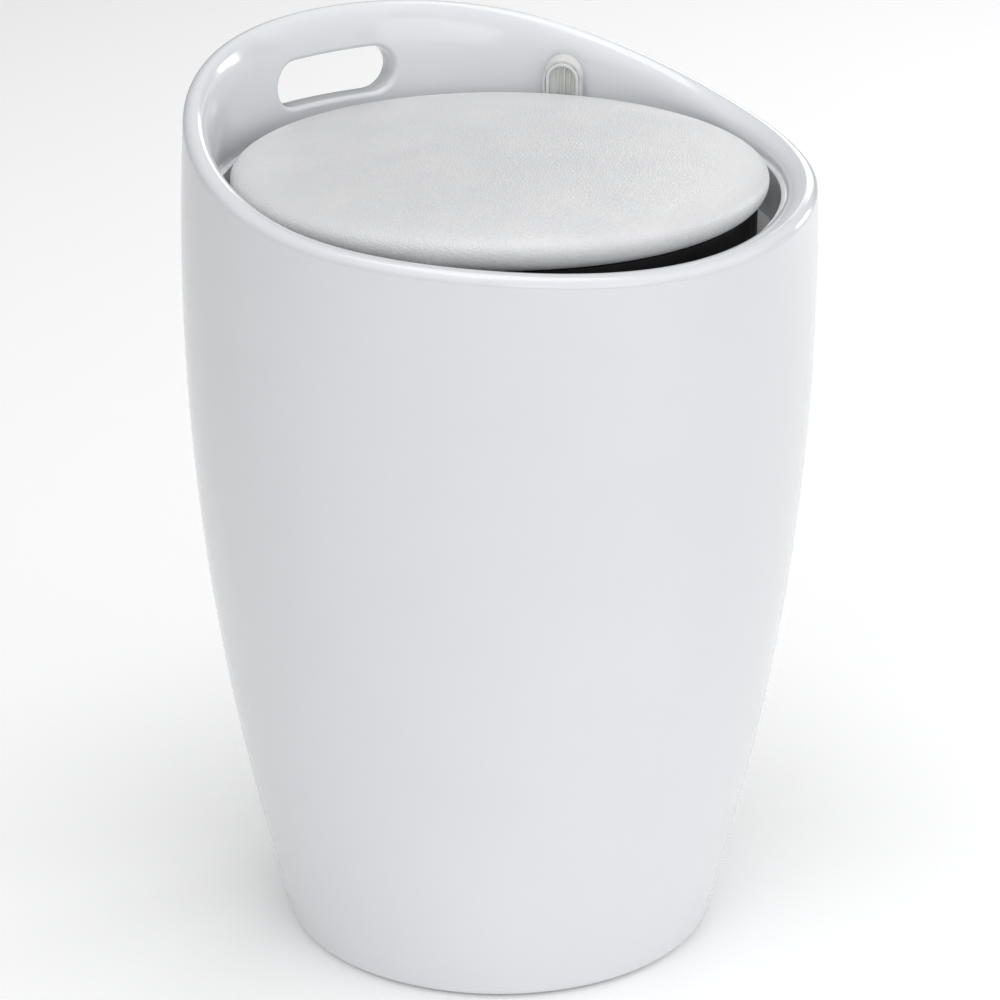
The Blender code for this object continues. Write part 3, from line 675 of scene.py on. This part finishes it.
HOOK_ROUNDING = 0.0005
WEB_DEPTH = 0.0024           # from the hook's front to the web inside its arch
WEB_THICKNESS = 0.0012
WEB_INTO_ARCH = 0.0002
RIBS = ((-0.0028, 0.0014), (0.0012, 0.0006), (0.0043, 0.0014))  # sideways, depth from the front
RIB_HALF = 0.0005
INTO = 0.0004                # how far ribs run into the web
LOOP_STEPS = 36
LOOP_UPRIGHT = 14
LOOP_ACROSS = 9
WELL_FACETS = 64             # sides taken for the well, so that the tape clears its flats
LOOP_LEAN = 0.0028           # the tape's far edge stands higher than its near edge
LOOP_SPLAY = 0.06            # and wider, by this share
TAPE_THIN = 0.62             # thickness between the selvedges, as a share of the tape's
TAPE_WAVE = 0.00012


def hook_point(theta, radius, sideways, z):
    """Point at a distance out from the axis and a distance to the side of that direction."""
    x, y, z = at(theta, radius, z)
    return (x + sideways * math.cos(theta), y + sideways * math.sin(theta), z)


def bar_mesh(theta, outline, near, far):
    """A prism that points at the wall: an outline of (sideways, height), from near to far."""
    n = len(outline)
    verts = [hook_point(theta, near, s, z) for s, z in outline]
    verts += [hook_point(theta, far, s, z) for s, z in outline]
    faces = [tuple(range(n)), tuple(range(2 * n - 1, n - 1, -1))]
    faces += [(i, n + i, n + (i + 1) % n, (i + 1) % n) for i in range(n)]
    return verts, faces


def arch_outline(radius, thickness, middle, low, steps=28):
    inner = radius - thickness
    outside = [(radius, low)] + arc(0, middle, radius, 0, 180, steps) + [(-radius, low)]
    inside = [(-inner, low)] + arc(0, middle, inner, 180, 0, steps) + [(inner, low)]
    return outside + inside


def bevelled(obj, width, segments):
    """Rounds the sharp edges of a piece, and applies it."""
    step = obj.modifiers.new("round", "BEVEL")
    step.width = width
    step.segments = segments
    step.limit_method = "ANGLE"
    step.angle_limit = math.radians(40)
    with bpy.context.temp_override(object=obj, active_object=obj, selected_objects=[obj]):
        bpy.ops.object.modifier_apply(modifier=step.name)
    obj.data.shade_smooth()
    obj.data.set_sharp_from_angle(angle=math.radians(50))


def build_hook(place):
    """The arched hook, its inside closed by a ribbed web; web and ribs are a darker grey, painted
    shade inside the arch.
    """
    theta, middle, wall = HOOKS[place]
    low = middle - HOOK_LEG
    back = math.sqrt((wall - FIT_GAP) ** 2 - HOOK_RADIUS ** 2)
    outline = arch_outline(HOOK_RADIUS, HOOK_WALL, middle, low)
    arch = bar_mesh(theta, outline, HOOK_FRONT_R, back)
    hook = finished(f"hook_{place}_fine", *arch, "body", HOOK_WHITE, "hook_plastic")
    bevelled(hook, HOOK_ROUNDING, 3)
    inner = HOOK_RADIUS - HOOK_WALL + WEB_INTO_ARCH
    web_outline = [(inner, low)] + arc(0, middle, inner, 0, 180, 24) + [(-inner, low)]
    web_near = HOOK_FRONT_R + WEB_DEPTH
    web_mesh = bar_mesh(theta, web_outline, web_near, web_near + WEB_THICKNESS)
    # The web's darker grey is painted shade inside the arch.
    finished(f"hook_{place}_web", *web_mesh, "body", HOOK_PAINTED_SHADE, "hook_plastic")
    for number, (sideways, depth) in enumerate(RIBS):
        reach = middle + math.sqrt(inner ** 2 - sideways ** 2)
        right, left = sideways + RIB_HALF, sideways - RIB_HALF
        outline = [(right, low), (right, reach), (left, reach), (left, low)]
        rib_mesh = bar_mesh(theta, outline, HOOK_FRONT_R + depth, web_near + INTO)
        # The ribs take the same darker grey: painted shade.
        rib = finished(f"hook_{place}_rib_{number}", *rib_mesh, "body", HOOK_PAINTED_SHADE, "hook_plastic")
        bevelled(rib, HOOK_ROUNDING / 2, 2)
    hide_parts(f"hook_{place}")


def build_loop(place):
    """Woven tape loop over the hook, its edges slightly proud like a selvedge."""
    theta, middle, _ = HOOKS[place]
    across = LOOP_ACROSS
    flat_r = WELL_R * math.cos(math.pi / WELL_FACETS)
    far_r = math.sqrt((flat_r - FIT_GAP) ** 2 - LOOP_RADIUS ** 2)
    heights = spread(SHELF_Z + FIT_GAP, middle, LOOP_UPRIGHT)[:-1]
    line = [(LOOP_RADIUS, z) for z in heights]
    line += arc(0, middle, LOOP_RADIUS, 0, 180, LOOP_STEPS)
    line += [(-LOOP_RADIUS, z) for z in reversed(heights)]
    verts = []
    for side in (0, 1):
        for k, (s, z) in enumerate(line):
            up = max(0.0, z - middle)
            out_s, out_z = s / LOOP_RADIUS, up / LOOP_RADIUS
            for m in range(across):
                share = m / (across - 1)
                edge = abs(2 * share - 1) ** 6
                thick = TAPE * (TAPE_THIN + (1 - TAPE_THIN) * edge)
                wave = TAPE_WAVE * math.sin(k * 0.9 + 3 * share)
                lift = (-thick if side else 0.0) + (wave if 3 < k < len(line) - 4 else 0.0)
                lift = min(0.0, lift) - (TAPE - thick) / 2 * (0 if side else 1)
                radius = LOOP_NEAR_R + (far_r - LOOP_NEAR_R) * share
                lean = share * out_z
                side_s = s * (1 + LOOP_SPLAY * lean) + out_s * lift
                height = z + out_z * lift + LOOP_LEAN * lean
                verts.append(hook_point(theta, radius, side_s, height))
    faces = []
    size = len(line) * across
    for side in (0, 1):
        for k in range(len(line) - 1):
            for m in range(across - 1):
                a = side * size + k * across + m
                faces.append((a, a + 1, a + across + 1, a + across))
    rim = [k * across for k in range(len(line))]
    rim += [size - across + m for m in range(1, across)]
    rim += [k * across + across - 1 for k in reversed(range(len(line) - 1))]
    rim += [m for m in reversed(range(1, across - 1))]
    for i, a in enumerate(rim):
        b = rim[(i + 1) % len(rim)]
        faces.append((a, b, b + size, a + size))
    loop = finished(f"loop_{place}_tape", verts, faces, "bag", TAPE_CLOTH, "bag_tape", 60)
    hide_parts(f"bag_loop_{place}")


# ---------------------------------------------------------------- the bag


BAG_ROUND = 240
BAG_ROWS = 60
FOLD_DEPTH = 0.0032
BOTTOM_SAG = 0.0045
BOTTOM_PULL = 0.0007         # radial puckers in the bottom
HEM_SOFTNESS = 0.00012
STITCH_PITCH = 0.0034
STITCH_LENGTH = 0.0022
STITCH_RADIUS = 0.00022


def fold(theta, share):
    """How far the hanging cloth falls in from its cut: soft upright folds, none at the seams."""
    hang = math.sin(math.pi * share) ** 0.8 if 0 < share < 1 else 0.0
    sway = 0.35 * math.sin(2.2 * share + 1.0)
    waves = 0.5 + 0.5 * math.sin(9 * theta + 2.0 * sway + 0.8 * math.sin(2 * theta))
    waves += 0.35 * math.sin(17 * theta - 3.0 * share + 1.3)
    waves += 0.22 * math.sin(5 * theta + 6 * share)
    return FOLD_DEPTH * hang * (waves + 0.6)


def build_bag():
    top = HEM_BOTTOM - 2 * FIT_GAP

    def section(theta):
        outside, inside = [], []
        for share in spread(0, 1, BAG_ROWS):
            z = BAG_BOTTOM_Z + (top - BAG_BOTTOM_Z) * share
            cut_r = BAG_BOTTOM_R + (BAG_TOP_R - BAG_BOTTOM_R) * share
            r = cut_r - max(0.0, fold(theta, share))
            outside.append((r, z))
            inside.append((r - FABRIC, z))
        return outside + list(reversed(inside))

    verts, faces, _ = ring_mesh(section, BAG_ROUND)
    wall = finished("bag_wall_cloth", verts, faces, "bag", CLOTH, "bag_cloth", 70)
    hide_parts("bag_wall")
    rim = BAG_BOTTOM_R - FABRIC - FIT_GAP

    def sag(theta, r):
        share = r / rim
        dish = -BOTTOM_SAG * (1 - share * share)
        pull = BOTTOM_PULL * math.sin(7 * theta + 2 * share) * share * (1 - share) * 4
        return dish + pull

    def bottom(theta):
        radii = spread(0, rim, 26)
        low = [(r, BAG_BOTTOM_Z + sag(theta, r)) for r in radii]
        high = [(r, z + FABRIC) for r, z in reversed(low)]
        return low + high

    disc = turned_mesh(bottom, BAG_ROUND)
    floor_cloth = finished("bag_bottom_cloth", *disc, "bag", CLOTH_FLAT, "bag_cloth", 70)
    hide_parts("bag_bottom")
    build_hem()
    return wall, floor_cloth


def build_hem():
    """Stiffened hem: a flat band with a soft edge and two rows of stitches."""
    inner, outer = BAG_TOP_R - FABRIC, HEM_OUTER_R
    half = HEM_THICKNESS / 2
    mid = (HEM_BOTTOM + HEM_TOP) / 2

    def section(theta):
        ripple = HEM_SOFTNESS * math.sin(31 * theta) + 0.00008 * math.sin(77 * theta)
        thin = half - HEM_SOFTNESS
        points = arc(outer - half, mid, half, -90, 90, 6)
        points += [(r, mid + thin + ripple * 0.5) for r in spread(outer - 0.002, inner + 0.002, 5)]
        points += arc(inner + half, mid, half, 90, 270, 6)
        points += [(r, HEM_BOTTOM) for r in spread(inner + 0.002, outer - 0.002, 5)]
        return points

    verts, faces, _ = ring_mesh(section, BAG_ROUND)
    hem = finished("bag_hem_band", verts, faces, "bag", TAPE_CLOTH, "bag_tape", 60)
    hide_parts("bag_hem")
    stitches((inner + 0.0022, LID_R - LID_BASE_INSET + 0.0028), mid + half - HEM_SOFTNESS)


def stitches(circles, z):
    """Rows of short thread stitches lying on the hem."""
    verts, faces = [], []
    for radius in circles:
        count = int(2 * math.pi * radius / STITCH_PITCH)
        for k in range(count):
            first = 2 * math.pi * k / count
            span = STITCH_LENGTH / radius
            rings = []
            for m in range(5):
                share = m / 4
                thick = STITCH_RADIUS * math.sqrt(max(0.05, 1 - (2 * share - 1) ** 2))
                turn = first + span * share
                rings.append(len(verts))
                for q in range(6):
                    a = 2 * math.pi * q / 6
                    verts.append(at(turn, radius + thick * math.cos(a), z + thick * math.sin(a)))
            for a, b in zip(rings, rings[1:]):
                faces += [(a + q, a + (q + 1) % 6, b + (q + 1) % 6, b + q) for q in range(6)]
            faces.append(tuple(range(rings[0], rings[0] + 6)))
            faces.append(tuple(range(rings[-1] + 5, rings[-1] - 1, -1)))
    finished("bag_hem_stitches", verts, faces, "bag", TAPE_CLOTH, "bag_tape", 60)


# ---------------------------------------------------------------- the seat lid

LID_ROUND = 256
UNDER_INSET = 0.002          # the seat's underside starts this far inside the base plate
UNDER_STEPS = 14
TOP_STEPS = 60
CROWN_FLAT = 2.4             # powers of the crown's curve: flatter in the middle
CROWN_ROUND = 0.6            # and rounder at the rim
SOFT_GAP = 0.0011            # step of the walk along the outline
SOFT_ROUNDS = 26
PLEAT = 0.0005
BOARD_ROUND = 128
BOARD_OVERLAP = 0.001


def softened(points, gap, rounds):
    """The outline walked in even steps, each step then averaged with its neighbours, ends fixed."""
    walked = [points[0]]
    left = gap
    for (ar, az), (br, bz) in zip(points, points[1:]):
        span = math.hypot(br - ar, bz - az)
        while span >= left > 0:
            ar, az = ar + (br - ar) * left / span, az + (bz - az) * left / span
            span = math.hypot(br - ar, bz - az)
            walked.append((ar, az))
            left = gap
        left -= span
    walked[-1] = points[-1]
    for _ in range(rounds):
        middle = []
        for (ar, az), (br, bz), (cr, cz) in zip(walked, walked[1:], walked[2:]):
            middle.append(((ar + 2 * br + cr) / 4, (az + 2 * bz + cz) / 4))
        walked = [walked[0]] + middle + [walked[-1]]
    return walked


def seat_outline():
    """From the turned-in edge under the seat, round the padded rim, to the middle of the top."""
    under_r = LID_R - LID_BASE_INSET - UNDER_INSET
    points = []
    for k in range(UNDER_STEPS + 1):
        angle = math.pi / 2 * k / UNDER_STEPS
        r = under_r + (LID_R - under_r) * math.sin(angle)
        points.append((r, TUCK_BOTTOM + LID_DEPTH * (1 - math.cos(angle))))
    for k in range(1, TOP_STEPS + 1):
        share = math.cos(math.pi / 2 * k / TOP_STEPS)
        rise = LID_CROWN * (1 - share ** CROWN_FLAT) ** CROWN_ROUND
        points.append((LID_R * share, LID_WIDE_Z + rise))
    soft = softened(points, SOFT_GAP, SOFT_ROUNDS)
    grow = LID_R / max(r for r, z in soft)
    return [(r * grow, z) for r, z in soft[:-1]]


def seat_profile(theta, outline):
    """The turned-in edge with its small pleats, then the outline with a little unevenness."""
    first_r = outline[0][0]
    start_r = LID_R - LID_BASE_INSET - COVER_TUCK
    pleat = PLEAT * max(0.0, math.sin(46 * theta + 0.7 * math.sin(5 * theta)))
    tuck = []
    for share in spread(0, 1, 8)[:-1]:
        r = start_r + (first_r - start_r) * share
        tuck.append((r, TUCK_BOTTOM + pleat * math.sin(math.pi * share)))
    wobble = 0.00022 * math.sin(3 * theta + 0.6) + 0.00016 * math.sin(7 * theta + 2.1)
    rest = []
    for r, z in outline:
        above = z - LID_WIDE_Z
        fade = math.sin(math.pi * r / LID_R) ** 2 if above > 0.004 else 0
        rest.append((r, z + wobble * fade))
    return tuck + rest + [(0, LID_WIDE_Z + LID_CROWN)]


def build_seat():
    """The padded seat in one closed form, for its cover, foam and board."""
    plate_z = TUCK_BOTTOM + COVER_THICKNESS
    outline = seat_outline()

    def profile(theta):
        inner = [(0, plate_z), (LID_R - LID_BASE_INSET - COVER_TUCK - 0.0001, plate_z)]
        return inner + seat_profile(theta, outline)

    verts, faces = turned_mesh(profile, LID_ROUND)
    seat = finished("seat_pad", verts, faces, "lid", LEATHER, "seat_leather", 60)
    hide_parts("lid_cover", "lid_foam", "lid_board")
    build_board()


def build_board():
    """What shows of the plywood board inside the turned-in cover."""
    radius = LID_R - LID_BASE_INSET - COVER_TUCK + BOARD_OVERLAP
    low = TUCK_BOTTOM + COVER_THICKNESS - 0.0004
    high = low + 0.0003

    def profile(theta):
        return [(0, low), (radius, low), (radius, high), (0, high)]

    finished("seat_board_face", *turned_mesh(profile, BOARD_ROUND), "lid", PLYWOOD, "seat_board")


def build_lid_base():
    """Black base plate with its foot ring and locating skirt."""
    radius = LID_R - LID_BASE_INSET
    skirt_r = BAG_TOP_R - FABRIC - LID_SKIRT_CLEARANCE
    skirt_low = LID_FOOT_BOTTOM - LID_SKIRT_DEPTH
    nose = LID_BASE_WALL / 2

    def profile(theta):
        points = [(0, LID_BASE_BOTTOM), (skirt_r - LID_BASE_WALL, LID_BASE_BOTTOM)]
        points += list(reversed(arc(skirt_r - nose, skirt_low + nose, nose, 0, -180, 8)))
        points += [(skirt_r, LID_BASE_BOTTOM), (radius - LID_BASE_WALL, LID_BASE_BOTTOM)]
        points += list(reversed(arc(radius - nose, LID_FOOT_BOTTOM + nose, nose, 0, -180, 8)))
        points += arc(radius - CORNER, LID_BASE_TOP - CORNER, CORNER, 0, 90, 4)
        return points + [(0, LID_BASE_TOP)]

    plate = turned_mesh(profile, LID_ROUND)
    base = finished("lid_base_plate", *plate, "lid", BLACK, "base_plastic", 50)
    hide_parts("lid_base")


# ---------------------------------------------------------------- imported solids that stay


def dress(names, material):
    """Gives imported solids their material."""
    for name in names:
        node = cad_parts[name]
        node.data.materials.clear()
        node.data.materials.append(material)


def dress_nodes():
    """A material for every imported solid, also for those that a finer piece replaces."""
    names = list(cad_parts)
    dress([n for n in names if "screw" in n or "washer" in n], STEEL)
    dress([n for n in names if n.startswith("foot_")], RUBBER)
    dress(["base_plate", "lid_base"], BLACK)
    dress(["outer_shell", "rim_collar"], WHITE)
    dress(["hook_back", "hook_front"], HOOK_WHITE)
    dress(["bag_wall", "bag_bottom"], CLOTH)
    dress(["bag_hem", "bag_loop_back", "bag_loop_front"], TAPE_CLOTH)
    dress(["lid_cover", "lid_foam"], LEATHER)
    dress(["lid_board"], PLYWOOD)


# ---------------------------------------------------------------- floor, light and camera


FLOOR_HALF = 9.0
FLOOR_GLOW = 0.14            # the table is white acrylic, lit a little from below
SKY = 0.05
KEY = 0.88                   # wide lights, in W per square metre
KEY_LEFT = 0.52
FRONT_RIGHT = 0.62
RIGHT_BOX = 8                # soft boxes, in W
FRONT_BOX = 13
TOP_BOX = 44
BACK_BOX = 8
AIM_HEIGHT = 0.42            # what the soft boxes point at, on the axis


def build_floor():
    """Plain white table that glows a little."""
    mesh = bpy.data.meshes.new("floor")
    size = FLOOR_HALF
    corners = [(-size, -size, 0), (size, -size, 0), (size, size, 0), (-size, size, 0)]
    mesh.from_pydata(corners, [], [(0, 1, 2, 3)])
    floor = bpy.data.objects.new("floor", mesh)
    bpy.context.scene.collection.objects.link(floor)
    made, _, shader = new_material("floor_white", (0.93, 0.93, 0.93), 0.95, specular=0.0)
    shader.inputs["Emission Color"].default_value = (1, 1, 1, 1)
    shader.inputs["Emission Strength"].default_value = FLOOR_GLOW
    mesh.materials.append(made)


def aim(azimuth, elevation):
    """Direction to a light; azimuth runs from the front (-Y) toward +X, in degrees."""
    turn, rise = math.radians(azimuth), math.radians(elevation)
    flat = math.cos(rise)
    return Vector((flat * math.sin(turn), -flat * math.cos(turn), math.sin(rise)))


def softbox(name, azimuth, elevation, distance, size, power):
    """Rectangular light aimed at the seat."""
    data = bpy.data.lights.new(name, "AREA")
    data.shape = "RECTANGLE"
    data.size, data.size_y = size
    data.energy = power
    lamp = bpy.data.objects.new(name, data)
    bpy.context.scene.collection.objects.link(lamp)
    direction = aim(azimuth, elevation)
    lamp.location = Vector((0, 0, AIM_HEIGHT)) + direction * distance
    lamp.rotation_euler = direction.to_track_quat("Z", "Y").to_euler()


def wide_light(name, azimuth, elevation, spread_degrees, strength):
    """Very broad distant light, like a wall of white fabric lit from behind."""
    data = bpy.data.lights.new(name, "SUN")
    data.energy = strength
    data.angle = math.radians(spread_degrees)
    lamp = bpy.data.objects.new(name, data)
    bpy.context.scene.collection.objects.link(lamp)
    lamp.rotation_euler = aim(azimuth, elevation).to_track_quat("Z", "Y").to_euler()


def build_light():
    """Soft studio light: broad light from the front and left, with soft boxes all round."""
    world = bpy.data.worlds.new("studio")
    bpy.context.scene.world = world
    world.use_nodes = True
    sky = world.node_tree.nodes["Background"]
    sky.inputs["Color"].default_value = (0.97, 0.985, 1.0, 1)
    sky.inputs["Strength"].default_value = SKY
    wide_light("key", -38, 40, 80, KEY)
    wide_light("front_right", 40, 24, 60, FRONT_RIGHT)
    wide_light("key_left", -95, 42, 80, KEY_LEFT)
    softbox("right_small", 92, 6, 2.4, (0.5, 0.6), RIGHT_BOX)
    softbox("front_low", -10, 6, 2.8, (2.5, 0.9), FRONT_BOX)
    softbox("top", 0, 86, 2.6, (2.2, 2.2), TOP_BOX)
    softbox("back_right", 126, 18, 3.0, (0.9, 0.8), BACK_BOX)
    view = bpy.context.scene.view_settings
    view.view_transform = "Standard"
    view.look = "None"


def build_camera():
    """Camera at the photograph's angle, looking down at the hamper from the front left."""
    data = bpy.data.cameras.new("camera")
    data.lens = 132.9
    data.sensor_width = 36.0
    camera = bpy.data.objects.new("camera", data)
    bpy.context.scene.collection.objects.link(camera)
    camera.location = (-1.192, -1.537, 1.015)
    camera.rotation_euler = (math.radians(68.59), 0, math.radians(-37.8))
    bpy.context.scene.camera = camera


# ---------------------------------------------------------------- assembly


build_camera()
build_outer()
build_collar()
for hook_name in HOOKS:
    build_hook(hook_name)
    build_loop(hook_name)
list(build_bag())
build_seat()
build_lid_base()
dress_nodes()
build_floor()
build_light()
